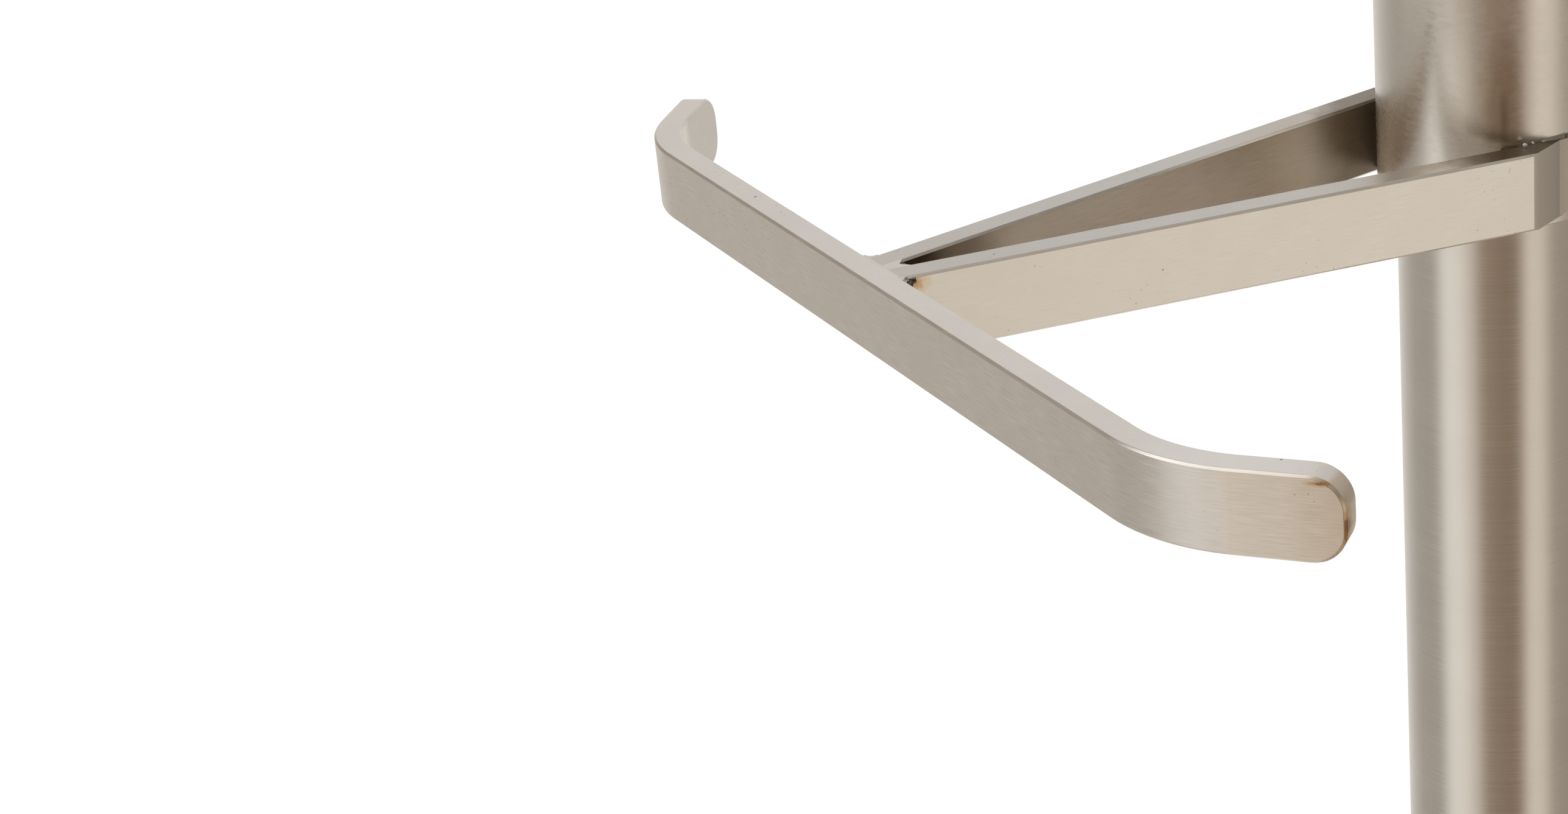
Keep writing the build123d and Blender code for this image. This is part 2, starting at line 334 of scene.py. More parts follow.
def brushed(
    name, coordinates, rough=0.27, color=STEEL, pits=0.0, streak=0.10, relief=0.08, extra=None
):
    """Satin steel. coordinates(g, place) gives the vector that the grain is drawn in: fine
    across, long along. extra(g, place, base) returns the base colour with more marks on it."""
    material, g = new_material(name)
    place = g.node("TexCoord").outputs["Object"]
    grain_at = coordinates(g, place)
    fine = g.noise(grain_at, 1.0, 4, 0.6)
    broad = g.noise(place, 45.0, 3, 0.55)
    base = g.mix(g.ranged(fine, 0.3, 0.7), scaled(color, 1 - streak), scaled(color, 1 + streak))
    base = g.mix(g.ranged(broad, 0.35, 0.65, 0.0, 0.35), base, scaled(color, 0.92))
    if pits:
        base = scattered_pits(g, place, base, pits)
    if extra:
        base = extra(g, place, base)
    roughness = g.ranged(fine, 0.25, 0.75, rough - 0.05, rough + 0.06, smooth=False)
    bump = g.node("Bump", {"Height": fine, "Strength": relief, "Distance": 0.00008})
    principled(g, {
        "Base Color": base,
        "Metallic": 1.0,
        "Roughness": roughness,
        "Normal": bump.outputs[0],
    })
    return material


def along_bar(g, place):
    """Grain that follows a bent bar, drawn in its own map: length first, then girth."""
    flat = g.node("UVMap", uv_map="grain").outputs[0]
    return g.vector("MULTIPLY", flat, (110.0, 3000.0, 1.0))


def around_post(g, place):
    """Grain that runs round the post."""
    return g.vector("MULTIPLY", place, (14.0, 14.0, 2600.0))


def mottled(g, place):
    """Blasted and lightly rubbed: soft specks, about twice as wide as high."""
    return g.vector("MULTIPLY", place, (260.0, 260.0, 620.0))


def rings(g, place):
    """Turned finish: fine rings about the post's axis."""
    flat = g.vector("MULTIPLY", place, (1.0, 1.0, 0.0))
    radius = g.vector("LENGTH", flat)
    slow = g.vector("MULTIPLY", place, (6.0, 6.0, 6.0))
    tight = g.node("CombineXYZ", {"X": g.math("MULTIPLY", radius, 2600.0)}).outputs[0]
    return g.vector("ADD", slow, tight)


def painted_highlight_top(g, place, base):
    """Painted highlight over the crossbar's flat top, strongest over the right bend."""
    bend_x, bend_y = crossbar_plan(BAR_HALF - 34 * MM, BAR_THICKNESS / 2)
    from_bend = g.vector("DISTANCE", place, (bend_x, bend_y, BAR_TOP))
    lift = g.ramp(g.ranged(from_bend, 0.0, 32 * MM), [
        (0.0, (1.11, 1.15, 1.20)),
        (0.5, (1.09, 1.13, 1.18)),
        (1.0, (1.02, 1.055, 1.085)),
    ])
    return g.tint(base, lift)


def toned_end(g, base):
    """The crossbar's upright faces, darker in the right bend and again towards the right tip."""
    along = g.node("SeparateXYZ", {0: g.node("UVMap", uv_map="grain").outputs[0]}).outputs[0]
    tone = g.ramp(g.ranged(along, HALF_STRAIGHT, BAR_HALF, smooth=False), [
        (0.20, (1.0, 1.0, 1.0)),
        (0.41, (0.85, 0.85, 0.86)),
        (0.49, (0.84, 0.84, 0.84)),
        (0.60, (1.0, 0.98, 0.96)),
        (0.75, (0.98, 0.95, 0.92)),
        (0.88, (0.91, 0.86, 0.80)),
        (1.0, (0.86, 0.80, 0.72)),
    ])
    return g.tint(base, tone)


def crossbar_marks_and_highlight(g, place, base):
    """A painted highlight on the top, a toned right end with oxide on its upper edge and its tip,
    and one deep pit in the top."""
    normal = g.node("TexCoord").outputs["Normal"]
    upward = g.ranged(g.node("SeparateXYZ", {0: normal}).outputs[2], 0.75, 0.9)
    upper_edge = (*crossbar_plan(BAR_HALF - 7 * MM, 0.0), BAR_TOP - 1.9 * MM)
    heated = heat_tint(g, place, base, upper_edge, (5 * MM, 5 * MM, 1.1 * MM))
    base = g.mix(upward, heated, base)
    # Top faces get the painted highlight, upright faces the toned end.
    base = g.mix(upward, toned_end(g, base), painted_highlight_top(g, place, base))
    tip = (*crossbar_plan(BAR_HALF, 1.0 * MM), BAR_BOTTOM + 11 * MM)
    heated = heat_tint(g, place, base, tip, (8 * MM, 8 * MM, 9 * MM))
    tail_front = (math.sin(BEND_ANGLE), -math.cos(BEND_ANGLE), 0.0)
    facing = g.vector("DOT_PRODUCT", normal, tail_front)
    base = g.mix(g.ranged(facing, 0.75, 0.92), heated, base)
    near_pit = g.vector("DISTANCE", place, (*PIT_ON_TOP, BAR_TOP))
    pit = g.ranged(near_pit, 0.35 * MM, 0.55 * MM, 1.0, 0.0)
    return g.mix(pit, base, (0.10, 0.08, 0.06))


def painted_shade_near_sleeve(g, place, base):
    """Painted shade that darkens the steel, most of all close to the sleeve."""
    distance = from_post(g, place, 160.0, 12 * MM)
    sleeve_shade = g.ramp(g.ranged(distance, 42 * MM, 105 * MM, smooth=False), [
        (0.0, (0.27, 0.24, 0.20)),
        (0.20, (0.34, 0.31, 0.27)),
        (0.44, (0.74, 0.72, 0.69)),
        (1.0, (0.79, 0.80, 0.81)),
    ])
    return g.tint(base, sleeve_shade)


def darker_about_cut(g, place_y, base):
    """Steel that is darker from just ahead of a leg's slanted cut to behind it."""
    start = -17.5 * MM
    darkening = g.ramp(g.ranged(place_y, start, 0.0, smooth=False), [
        (0.0, (1.0, 1.0, 1.0)),
        (0.05, (0.88, 0.88, 0.86)),
        (1.0, (0.68, 0.70, 0.72)),
    ])
    return g.tint(base, darkening)


def leg_shade_and_heat_tint(g, place, base):
    """Painted shade on the top and the inner bevel, darkest near the sleeve, darker steel about
    the slanted cut, and heat colour on the outer face by the crossbar, which reaches further on
    the right leg."""
    normal_x, _, up = g.node("SeparateXYZ", {0: g.node("TexCoord").outputs["Normal"]}).outputs
    place_x, place_y, _ = g.node("SeparateXYZ", {0: place}).outputs
    towards_middle = g.math("MULTIPLY", normal_x, place_x)
    inward = g.ranged(towards_middle, -2.0 * MM, -0.5 * MM, 1.0, 0.0)
    inner_bevel = g.math("MULTIPLY", inward, g.ranged(up, 0.3, 0.5))
    shaded_faces = g.math("MAXIMUM", inner_bevel, g.ranged(up, 0.75, 0.9))
    # Painted shade on the top and the inner bevel, darkest near the sleeve.
    base = g.mix(shaded_faces, base, painted_shade_near_sleeve(g, place, base))
    base = darker_about_cut(g, place_y, base)
    for side, reach in ((1, 6.5 * MM), (-1, 2.5 * MM)):
        corner = (side * 14.4 * MM, BACK_Y + 3.4 * MM, BAR_TOP - 2.4 * MM)
        heated = heat_tint(g, place, base, corner, (reach, reach, 0.8 * reach))
        base = g.mix(g.ranged(up, 0.3, 0.7), heated, base)
    return base


def sleeve_marks(g, place, base):
    """Brown oxide over each leg's weld, fading upwards, and wider over the right leg."""
    for side, width in ((1, 9 * MM), (-1, 6 * MM)):
        spot = (side * 32.7 * MM, -19.4 * MM, BAR_TOP + 9 * MM)
        offset = g.vector("DIVIDE", g.vector("SUBTRACT", place, spot), (width, width, 46 * MM))
        wobble = g.math("MULTIPLY", g.noise(place, 130.0, 2), 0.3)
        haze = g.ramp(g.math("ADD", g.vector("LENGTH", offset), wobble), [
            (0.12, (0.50, 0.43, 0.36)),
            (0.45, (0.74, 0.68, 0.61)),
            (1.0, (1.0, 1.0, 1.0)),
        ])
        base = g.tint(base, haze)
    return base


def inner_face_painted_shade(g, place, base):
    """Painted shade over the inner face, darker near the sleeve and darkest in the root by the
    crossbar.
    """
    distance = from_post(g, place, 120.0, 10 * MM)
    shade = g.ramp(g.ranged(distance, 45 * MM, 235 * MM, smooth=False), [
        (0.0, (0.42, 0.38, 0.33)),
        (0.12, (0.64, 0.59, 0.52)),
        (0.40, (0.80, 0.75, 0.69)),
        (0.70, (0.70, 0.65, 0.59)),
        (0.84, (0.36, 0.31, 0.27)),
        (0.92, (0.10, 0.08, 0.06)),
    ])
    return g.tint(base, shade)


def speckled(name, dark, light, rough, scale, metallic=0.0, bump=0.15):
    """Mottled from dark to light by noise of this scale: paint, plastic, rubber or raw weld."""
    material, g = new_material(name)
    place = g.node("TexCoord").outputs["Object"]
    mottle = g.noise(place, scale, 5, 0.6)
    relief = g.node("Bump", {"Height": mottle, "Strength": bump, "Distance": 0.0002})
    principled(g, {
        "Base Color": g.mix(g.ranged(mottle, 0.35, 0.65), dark, light),
        "Metallic": metallic,
        "Roughness": g.ranged(mottle, 0.3, 0.7, rough - 0.08, rough + 0.08, smooth=False),
        "Normal": relief.outputs[0],
    })
    return material


def paint(piece, *materials):
    piece.data.materials.clear()
    for material in materials:
        piece.data.materials.append(material)


# ---- mesh helpers -------------------------------------------------------------------------
def face_outwards(mesh):
    shape = bmesh.new()
    shape.from_mesh(mesh)
    bmesh.ops.recalc_face_normals(shape, faces=shape.faces)
    shape.to_mesh(mesh)
    shape.free()


def add_mesh(name, vertices, faces, flat_map=None):
    mesh = bpy.data.meshes.new(name)
    mesh.from_pydata([tuple(v) for v in vertices], [], faces)
    if flat_map is not None:
        layer = mesh.uv_layers.new(name="grain")
        for loop in mesh.loops:
            layer.data[loop.index].uv = flat_map[loop.vertex_index]
    mesh.polygons.foreach_set("use_smooth", [True] * len(mesh.polygons))
    face_outwards(mesh)
    mesh.set_sharp_from_angle(angle=math.radians(42))
    piece = bpy.data.objects.new(name, mesh)
    bpy.context.scene.collection.objects.link(piece)
    return piece


def even_shading(piece):
    """Shade so that large faces stay flat and only the rounded edges turn between them."""
    modifier = piece.modifiers.new("even_shading", "WEIGHTED_NORMAL")
    modifier.keep_sharp = True
    modifier.weight = 100


# Ground edge of a bar, as shares of its width: inset from the side, and depth from the face.
GROUND_EDGE = [(1.0, 0.0), (0.86, 0.015), (0.72, 0.10), (0.10, 0.72), (0.015, 0.86), (0.0, 1.0)]


def arc_steps(count):
    return [i / count * math.pi / 2 for i in range(count + 1)]


def rounded_profile(corners, radius, steps=5):
    """Closed profile of (radius, height) points with each corner rounded."""
    points = [Vector(c) for c in corners]
    made = []
    for index, corner in enumerate(points):
        before = points[index - 1] - corner
        after = points[(index + 1) % len(points)] - corner
        r = min(radius, before.length * 0.45, after.length * 0.45)
        start, end = corner + before.normalized() * r, corner + after.normalized() * r
        for step in range(steps + 1):
            t = step / steps
            made.append((1 - t) ** 2 * start + 2 * t * (1 - t) * corner + t * t * end)
    return made


def lathe(name, corners, rounding, segments=200):
    """Ring turned about the post's axis from a closed profile."""
    profile = rounded_profile(corners, rounding)
    count = len(profile)
    vertices, faces = [], []
    for segment in range(segments):
        angle = 2 * math.pi * segment / segments
        for r, z in profile:
            vertices.append((r * math.cos(angle), r * math.sin(angle), z))
    for segment in range(segments):
        here, there = segment * count, (segment + 1) % segments * count
        for i in range(count):
            j = (i + 1) % count
            faces.append((here + i, there + i, there + j, here + j))
    piece = add_mesh(name, vertices, faces)
    even_shading(piece)
    return piece


def bar_layers():
    """(inset, depth) of each layer through a bar, from its outer face to its inner face."""
    outer = [(EDGE_WIDTH * inset, EDGE_WIDTH * depth) for inset, depth in GROUND_EDGE]
    inner = [(inset, BAR_THICKNESS - depth) for inset, depth in reversed(outer)]
    return outer + inner


def bar_faces(layers, count):
    """Quads between neighbouring layers of count points, and over the first and last layer."""
    faces = []
    for layer in range(layers - 1):
        a, b = layer * count, (layer + 1) * count
        for i in range(count):
            j = (i + 1) % count
            faces.append((a + i, a + j, b + j, b + i))
    for layer, flipped in ((0, True), (layers - 1, False)):
        base = layer * count
        for i in range(count // 2 - 1):
            quad = (base + i, base + i + 1, base + count - 2 - i, base + count - 1 - i)
            faces.append(tuple(reversed(quad)) if flipped else quad)
    return faces


def cut_bar(name, lengths, height_at, place_at):
    """A flat bar with rounded edges. lengths are its stations; height_at(s, inset) gives its
    lower and upper edge there; place_at(s, depth) is the plan point at that depth across. The
    grain map has length along the bar and girth round it, with the inner half's shifted."""
    inner_shift = 50 * MM
    low_s, high_s = lengths[0], lengths[-1]
    layers = bar_layers()
    vertices, flat_map = [], []
    girth = 0.0
    for number, (inset, depth) in enumerate(layers):
        if number:
            girth += math.hypot(inset - layers[number - 1][0], depth - layers[number - 1][1])
        shift = inner_shift if depth > BAR_THICKNESS / 2 else 0.0
        squeeze = (high_s - low_s - 2 * inset) / (high_s - low_s)
        stations = [low_s + inset + (s - low_s) * squeeze for s in lengths]
        for row in (0, 1):
            for s in (stations if row else reversed(stations)):
                z = height_at(s, inset)[row]
                vertices.append((*place_at(s, depth), z))
                flat_map.append((s, girth + (z + shift)))
    faces = bar_faces(len(layers), 2 * len(lengths))
    piece = add_mesh(name, vertices, faces, flat_map)
    even_shading(piece)
    return piece


def prism(name, outline, low, high):
    """Upright block of weld metal over a plan outline."""
    count = len(outline)
    vertices = [(x, y, low) for x, y in outline] + [(x, y, high) for x, y in outline]
    faces = [tuple(reversed(range(count))), tuple(range(count, 2 * count))]
    faces += [(i, (i + 1) % count, count + (i + 1) % count, count + i) for i in range(count)]
    flat_map = [(x, y + z) for x, y, z in vertices]
    piece = add_mesh(name, vertices, faces, flat_map)
    piece.data.polygons.foreach_set("use_smooth", [False] * len(faces))
    return piece


def lump(center, radii, seed, roughness=0.35, rows=14, columns=20):
    """Vertices and faces of one irregular bead of metal."""
    vertices, faces = [], []
    for row in range(rows + 1):
        polar = math.pi * row / rows
        for column in range(columns):
            turn = 2 * math.pi * column / columns
            flat = math.sin(polar)
            way = Vector((flat * math.cos(turn), flat * math.sin(turn), math.cos(polar)))
            size = 1 + roughness * noise.noise(way * 1.9 + Vector((seed * 7.3, 0, 0)))
            size += 0.4 * roughness * noise.noise(way * 5.1 + Vector((0, seed * 3.1, 0)))
            vertices.append(tuple(c + r * w * size for c, r, w in zip(center, radii, way)))
    for row in range(rows):
        for column in range(columns):
            a, b = row * columns + column, row * columns + (column + 1) % columns
            faces.append((a, a + columns, b + columns, b))
    return vertices, faces


def join_lumps(name, lumps):
    vertices, faces = [], []
    for some_vertices, some_faces in lumps:
        start = len(vertices)
        vertices += some_vertices
        faces += [tuple(i + start for i in face) for face in some_faces]
    return add_mesh(name, vertices, faces, [(x, z) for x, y, z in vertices])


# ---- hanger ---------------------------------------------------------------------------------
def crossbar_plan(s, depth):
    """Plan point at signed length s along the crossbar's front and depth behind it."""
    side, run = (1 if s >= 0 else -1), abs(s)
    if run <= HALF_STRAIGHT:
        return side * run, FRONT_Y + depth
    turn = min(1.0, (run - HALF_STRAIGHT) / BEND_LENGTH) * BEND_ANGLE
    radius = BEND_RADIUS - depth
    beyond = max(0.0, run - HALF_STRAIGHT - BEND_LENGTH)
    x = HALF_STRAIGHT + radius * math.sin(turn) + beyond * math.cos(turn)
    y = FRONT_Y + BEND_RADIUS - radius * math.cos(turn) + beyond * math.sin(turn)
    return side * x, y


def crossbar_heights(s, inset):
    """Lower and upper edge at signed length s, rounded off at both tips."""
    radius = TIP_RADIUS - inset
    left = BAR_HALF - inset - abs(s)
    drop = radius - math.sqrt(max(0.0, radius**2 - max(0.0, radius - left) ** 2))
    return BAR_BOTTOM + inset + drop, BAR_TOP - inset - drop


def crossbar_stations():
    """Signed lengths along the crossbar, close together in the bends and at the tips."""
    tail_start = HALF_STRAIGHT + BEND_LENGTH
    side = [HALF_STRAIGHT * i / 30 for i in range(30)]
    side += [HALF_STRAIGHT + BEND_LENGTH * i / 24 for i in range(25)]
    side += [tail_start + (TAIL_LENGTH - TIP_RADIUS) * i / 6 for i in range(1, 6)]
    side += [BAR_HALF - TIP_RADIUS * (1 - math.sin(a)) for a in arc_steps(14)]
    return [-s for s in reversed(side[1:])] + side


def make_crossbar():
    piece = cut_bar("hanger_crossbar", crossbar_stations(), crossbar_heights, crossbar_plan)
    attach(piece, "head")
    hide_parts("crossbar")
    return piece


def leg_axes(side):
    """Unit vectors along a leg to the crossbar, and square to it away from the middle."""
    forward = Vector((-side * math.sin(LEG_ANGLE), -math.cos(LEG_ANGLE)))
    outward = Vector((side * math.cos(LEG_ANGLE), -math.sin(LEG_ANGLE)))
    return forward, outward


def leg_plan(side):
    """Plan of one leg: s runs forward from its rear end, depth inward from its outer face."""
    forward, outward = leg_axes(side)

    def place(s, depth):
        start = outward * (SLEEVE_RADIUS + BAR_THICKNESS - depth)
        rear = LEG_CUT_BACK - (LEG_CUT_BACK + LEG_OVERRUN) * depth / BAR_THICKNESS
        front = (BACK_Y - start.y) / forward.y
        point = start + forward * (rear + (front - rear) * s / LEG_LENGTH)
        return point.x, point.y
    return place


def make_leg(side, name, node):
    def heights(s, inset):
        return LEG_BOTTOM + inset, BAR_TOP - inset

    stations = [LEG_LENGTH * i / 60 for i in range(61)]
    piece = cut_bar(name, stations, heights, leg_plan(side))
    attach(piece, "head")
    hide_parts(node)
    return piece


def leg_point(side, along, away):
    """Plan point this far forward of a leg's tangent point and this far from the post."""
    forward, outward = leg_axes(side)
    point = outward * away + forward * along
    return point.x, point.y


def leg_root(side, along, inset):
    """Plan point this deep in a leg from its inner face, and this far behind the crossbar."""
    forward, outward = leg_axes(side)
    start = outward * (SLEEVE_RADIUS + inset)
    distance = (BACK_Y - start.y) / forward.y - along / math.cos(LEG_ANGLE)
    point = start + forward * distance
    return point.x, point.y


def curve_points(start, control, end, steps=8):
    """Points along the curve from start to end that bends towards control."""
    made = []
    for step in range(steps + 1):
        t = step / steps
        made.append(tuple(
            (1 - t) ** 2 * a + 2 * t * (1 - t) * b + t * t * c
            for a, b, c in zip(start, control, end)
        ))
    return made


def weld_piece(piece, node, material):
    paint(piece, material)
    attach(piece, "head")
    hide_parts(node)


def outer_corner_x():
    """Distance from the middle to where a leg's outer face meets the crossbar's back."""
    return leg_root(1, 0, BAR_THICKNESS)[0]


def make_dressing(flush):
    """Ground skin over the joint, level with the tops, and drawn out past the left leg."""
    outer_x, front = outer_corner_x(), BACK_Y - EDGE_WIDTH
    right = [
        (outer_x - EDGE_WIDTH, front),
        (outer_x - EDGE_WIDTH, BACK_Y),
        leg_root(1, 0, EDGE_WIDTH),
        leg_root(1, ROOT_FILL, EDGE_WIDTH),
    ]
    middle = (0.0, BACK_Y + 5.0 * MM)
    left = [(-x, y) for x, y in reversed(right[1:])]
    drawn_out = curve_points(
        (-outer_x - 3.6 * MM, front),
        (-outer_x - 0.2 * MM, BACK_Y - 0.1 * MM),
        leg_root(-1, 3.6 * MM, BAR_THICKNESS - EDGE_WIDTH),
    )
    outline = [*right, middle, *left, *reversed(drawn_out)]
    piece = prism("weld_dressing", outline, BAR_TOP - EDGE_WIDTH, BAR_TOP)
    weld_piece(piece, "crossbar_weld", flush)


def make_root_fill(dark):
    """Unground weld in the narrow root between the legs."""
    outline = [
        (0.0, BACK_Y),
        leg_root(1, 0, 0.0),
        leg_root(1, ROOT_FILL, 0.0),
        leg_root(-1, ROOT_FILL, 0.0),
        leg_root(-1, 0, 0.0),
    ]
    piece = prism("weld_root", outline, BAR_BOTTOM + EDGE_WIDTH, BAR_TOP - EDGE_WIDTH)
    weld_piece(piece, "crossbar_weld", dark)


def make_corner_fillet(side, top, flush):
    """Upright fillet between the crossbar's back and a leg's outer face, up to this top."""
    outer_x, reach = outer_corner_x(), 3.4 * MM
    outline = curve_points(
        (side * (outer_x + reach), BACK_Y),
        (side * outer_x, BACK_Y + 0.2 * MM),
        leg_root(side, reach, BAR_THICKNESS),
    )
    outline.append((side * (outer_x - 0.5 * MM), BACK_Y - 0.3 * MM))
    if side > 0:
        outline.reverse()
    piece = prism(f"weld_corner_{side + 1}", outline, BAR_BOTTOM + EDGE_WIDTH, top)
    weld_piece(piece, "crossbar_weld", flush)


def make_notch_fill(flush):
    """Weld that brings the right leg's outer corner up to just under the top."""
    outer_x, reach, front = outer_corner_x(), 1.9 * MM, BACK_Y - EDGE_WIDTH
    outline = curve_points(
        (outer_x + reach, BACK_Y), (outer_x, BACK_Y), leg_root(1, reach, BAR_THICKNESS)
    )
    outline += [
        (outer_x - EDGE_WIDTH, BACK_Y + 0.8 * MM),
        (outer_x - EDGE_WIDTH, front),
        (outer_x + 1.2 * MM, front),
    ]
    outline.reverse()
    piece = prism("weld_notch_fill", outline, BAR_TOP - 3 * MM, BAR_TOP - 0.04 * MM)
    weld_piece(piece, "crossbar_weld", flush)


# Spatter in the notch at the right leg's outer corner: each lump's place from the corner at the
# top, and its radii, in millimetres.
BURR = [
    ((3.2, 1.2, -1.3), (1.1, 1.0, 1.2)),
    ((2.4, 1.9, -0.7), (0.9, 0.8, 0.7)),
    ((2.8, 2.9, -0.8), (0.6, 0.6, 0.7)),
    ((3.6, 0.7, -2.6), (1.0, 0.8, 1.2)),
    ((4.3, 0.8, -1.5), (0.7, 0.6, 0.8)),
]
FLECKS = [
    ((1.9, 0.9, -0.3), (1.0, 0.5, 0.4)),
    ((2.5, 3.1, -0.1), (0.5, 0.5, 0.5)),
]


def make_corner_lumps(name, spots, first_seed, material):
    corner = (outer_corner_x(), BACK_Y, BAR_TOP)
    lumps = []
    for seed, (offset, radii) in enumerate(spots, first_seed):
        center = [c + distance * MM for c, distance in zip(corner, offset)]
        lumps.append(lump(center, [radius * MM for radius in radii], seed))
    weld_piece(join_lumps(name, lumps), "crossbar_weld", material)


def make_crossbar_weld(flush, dark, grey):
    make_dressing(flush)
    make_root_fill(dark)
    make_corner_fillet(1, BAR_TOP - 2.6 * MM, flush)
    make_corner_fillet(-1, BAR_TOP - 0.05 * MM, flush)
    make_notch_fill(flush)
    make_corner_lumps("weld_burr", BURR, 1, dark)
    make_corner_lumps("weld_fleck", FLECKS, 8, grey)


def on_sleeve(along):
    """How far out the sleeve's surface is, this far forward of a leg's tangent point."""
    return math.sqrt(SLEEVE_RADIUS**2 - along**2)


def make_front_bead(side, name, node, dark):
    """Bead in the narrow wedge between the sleeve and the leg, ahead of the tangent point."""
    stations = [15 * MM * i / 8 for i in range(9)]
    outline = [leg_point(side, s, on_sleeve(s) - 0.2 * MM) for s in stations]
    outline += [leg_point(side, s, SLEEVE_RADIUS + 0.1 * MM) for s in (stations[-1], 0.0)]
    if side < 0:
        outline.reverse()
    piece = prism(name, outline, LEG_BOTTOM + EDGE_WIDTH, BAR_TOP - 1.4 * MM)
    weld_piece(piece, node, dark)


def make_rear_blend(side, name, node, flush):
    """Ground weld that carries the leg's slanted cut on to the sleeve."""
    heel = -LEG_OVERRUN
    rear = heel - 4.5 * MM
    outline = curve_points(
        leg_point(side, heel + 3.2 * MM, SLEEVE_RADIUS + 2.06 * MM),
        leg_point(side, heel - 1.2 * MM, SLEEVE_RADIUS - 0.75 * MM),
        leg_point(side, rear, on_sleeve(rear) - 0.02 * MM),
    )
    outline.append(leg_point(side, heel + 2 * MM, SLEEVE_RADIUS - 1.5 * MM))
    if side < 0:
        outline.reverse()
    piece = prism(name, outline, LEG_BOTTOM + 0.3 * MM, BAR_TOP - 0.15 * MM)
    weld_piece(piece, node, flush)


def fillet_section(share, along, side, steps):
    """Closed (out, up) section of the top fillet, which ripples, swells in the middle and dies
    out at the front."""
    swell = math.sin(math.pi * min(1.0, share * 0.9 + 0.1)) ** 0.5
    ripple = 1 + 0.18 * noise.noise(Vector((along * 900, side * 5.0, 0)))
    width, climb = 1.9 * MM * swell * ripple, 1.2 * MM * swell * ripple
    inside, below = -0.02 * MM, -0.1 * MM
    section = curve_points((width, below), (0.15 * MM, 0.1 * MM), (inside, climb), steps)
    section.append((inside, below))
    return section


def make_top_fillet(side, name, node, material):
    """Small fillet between the leg's top and the sleeve's surface."""
    rear, front, spans, steps = -10.5 * MM, 2.0 * MM, 36, 6
    row = steps + 2
    vertices, faces = [], []
    for i in range(spans + 1):
        share = i / spans
        along = rear + (front - rear) * share
        away = on_sleeve(along)
        for x, z in fillet_section(share, along, side, steps):
            lift = x * away / SLEEVE_RADIUS
            px, py = leg_point(side, along * (1 + x / SLEEVE_RADIUS), away + lift)
            vertices.append((px, py, BAR_TOP + z))
    for i in range(spans):
        for j in range(row):
            k = (j + 1) % row
            faces.append((i * row + j, i * row + k, (i + 1) * row + k, (i + 1) * row + j))
    faces += [tuple(reversed(range(row))), tuple(range(spans * row, (spans + 1) * row))]
    piece = add_mesh(name, vertices, faces, [(x, y) for x, y, z in vertices])
    weld_piece(piece, node, material)


def make_drops(side, name, node, painted_glint):
    """Two drops of spatter by the front of the leg's weld, coloured near white as a painted glint."""
    drop = (*leg_point(side, 9.0 * MM, SLEEVE_RADIUS + 2.1 * MM), BAR_TOP + 0.6 * MM)
    splash = (*leg_point(side, 5.0 * MM, SLEEVE_RADIUS - 0.1 * MM), BAR_TOP)
    lumps = [
        lump(drop, (0.75 * MM, 0.75 * MM, 0.75 * MM), 11),
        lump(splash, (0.8 * MM, 0.4 * MM, 0.3 * MM), 12),
    ]
    weld_piece(join_lumps(name, lumps), node, painted_glint)


def make_speck(side, name, node, dark):
    """One dark speck at the rear of the leg's weld."""
    x, y = leg_point(side, -LEG_OVERRUN - 0.5 * MM, SLEEVE_RADIUS + 0.1 * MM)
    speck = lump((x, y, BAR_TOP + 0.7 * MM), (0.3 * MM, 0.3 * MM, 0.25 * MM), 13)
    weld_piece(join_lumps(name, [speck]), node, dark)


def make_leg_weld(side, name, node, materials):
    flush, dark_fillet, dark, painted_glint = materials
    make_front_bead(side, name + "_bead", node, dark)
    make_rear_blend(side, name + "_blend", node, flush)
    make_top_fillet(side, name + "_fillet", node, dark_fillet)
    make_drops(side, name + "_spatter", node, painted_glint)
    make_speck(side, name + "_speck", node, dark)


# ---- turned parts ---------------------------------------------------------------------------
def make_tube(name, node, body, wall, rounding):
    """Tube turned about the post's axis, as wide and as long as its CAD node."""
    low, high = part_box(node)
    radius = high.x
    piece = lathe(name, [
        (radius - wall, low.z), (radius, low.z), (radius, high.z), (radius - wall, high.z),
    ], rounding)
    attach(piece, body)
    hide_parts(node)
    return piece


# ---- assembly -------------------------------------------------------------------------------
def paint_nodes():
    """Paint every CAD node by its slot in the record, and return the slots' materials."""
    rubber_dark, rubber_light = (0.025, 0.025, 0.025), (0.06, 0.06, 0.06)
    slots = {
        "brushed_bar": brushed(
            "brushed_bar", along_bar, rough=0.30, color=BAR_STEEL, pits=0.8, extra=crossbar_marks_and_highlight
        ),
        "brushed_tube": brushed("brushed_tube", around_post, rough=0.25, streak=0.03, relief=0.01),
        "brushed_plate": brushed("turned_plate", rings, rough=0.27, streak=0.08),
        "weld": speckled(
            "dark_weld", (0.05, 0.04, 0.035), (0.24, 0.20, 0.16), 0.36, 1500.0, metallic=1.0, bump=0.5
        ),
        "machined_steel": brushed("machined_steel", rings, rough=0.33, color=(0.62, 0.62, 0.63)),
        "fastener": speckled(
            "black_oxide", (0.02, 0.02, 0.022), (0.05, 0.05, 0.055), 0.42, 700.0, metallic=0.6
        ),
        "nylon": speckled("natural_nylon", (0.80, 0.78, 0.71), (0.88, 0.86, 0.80), 0.45, 300.0),
        "rubber_pad": speckled("rubber_sheet", rubber_dark, rubber_light, 0.75, 500.0),
    }
    for row in frame["record"]["subparts"]:
        paint(NODES[row["node"]], slots[row["material_slot"]])
    return slots


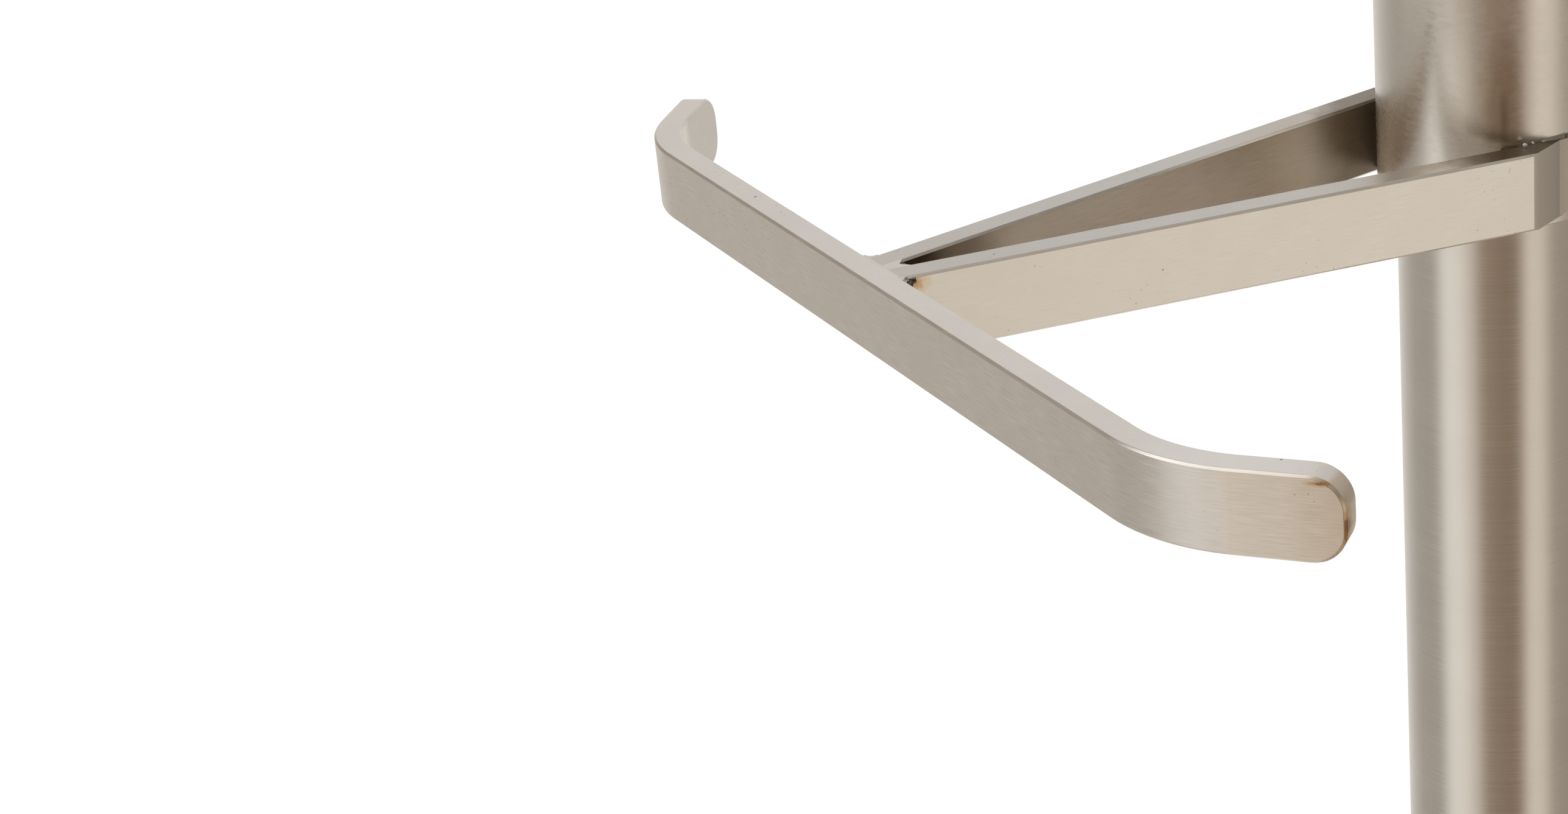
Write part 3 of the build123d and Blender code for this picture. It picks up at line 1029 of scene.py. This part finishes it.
def turn_inner_faces(leg, side):
    """Give the leg's inner face its own material, the second one on the piece, which has painted
    shade.
    """
    _, outward = leg_axes(side)
    inward = Vector((-outward.x, -outward.y, 0))
    for face in leg.data.polygons:
        face.material_index = 1 if face.normal.dot(inward) > 0.95 else 0


add_camera()
add_studio_light()
add_floor()
slots = paint_nodes()
leg_steel = brushed(
    "brushed_leg", along_bar, rough=0.30, color=scaled(BAR_STEEL, 1.07), pits=0.8, extra=leg_shade_and_heat_tint
)
# The inner face's copy of the leg steel, with painted shade.
shaded_leg_inside = brushed(
    "brushed_leg_inside_painted_shade", along_bar, rough=0.32, color=BAR_STEEL, pits=0.6, extra=inner_face_painted_shade
)
flush_weld = brushed("flush_weld", along_bar, rough=0.31, color=BAR_STEEL, streak=0.05)
# Darker weld for the top fillets between the legs and the sleeve.
dark_fillet_weld = brushed("dark_fillet_weld", along_bar, rough=0.36, color=(0.42, 0.385, 0.34), streak=0.12)
# Real spatter drops, coloured near white: a painted glint.
spatter = speckled(
    "weld_spatter_painted_glint", (0.86, 0.85, 0.83), (0.97, 0.96, 0.95), 0.55, 1800.0, metallic=1.0, bump=0.2
)
grey_scale = speckled(
    "grey_scale", (0.20, 0.19, 0.18), (0.62, 0.60, 0.58), 0.34, 1200.0, metallic=1.0, bump=0.5
)
satin_sleeve = brushed(
    "satin_sleeve", mottled, rough=0.27, color=scaled(STEEL, 1.04), streak=0.02, relief=0.012,
    extra=sleeve_marks,
)

paint(make_crossbar(), slots["brushed_bar"])
leg_weld_materials = (flush_weld, dark_fillet_weld, slots["weld"], spatter)
# Only the left leg's inner face is in the camera's view, so only that one gets painted shade.
for side, word in ((1, "right"), (-1, "left")):
    leg = make_leg(side, "hanger_leg_" + word, word + "_leg")
    if side > 0:
        paint(leg, leg_steel)
    else:
        paint(leg, leg_steel, shaded_leg_inside)
        turn_inner_faces(leg, side)
    make_leg_weld(side, "sleeve_weld_" + word, word + "_leg_weld", leg_weld_materials)
make_crossbar_weld(flush_weld, slots["weld"], grey_scale)
paint(make_tube("post", "post_tube", "stand", 2.0 * MM, 0.3 * MM), slots["brushed_tube"])
paint(make_tube("turning_sleeve", "head_sleeve", "head", 2.6 * MM, 0.5 * MM), satin_sleeve)
bpy.context.scene.view_settings.view_transform = "Standard"
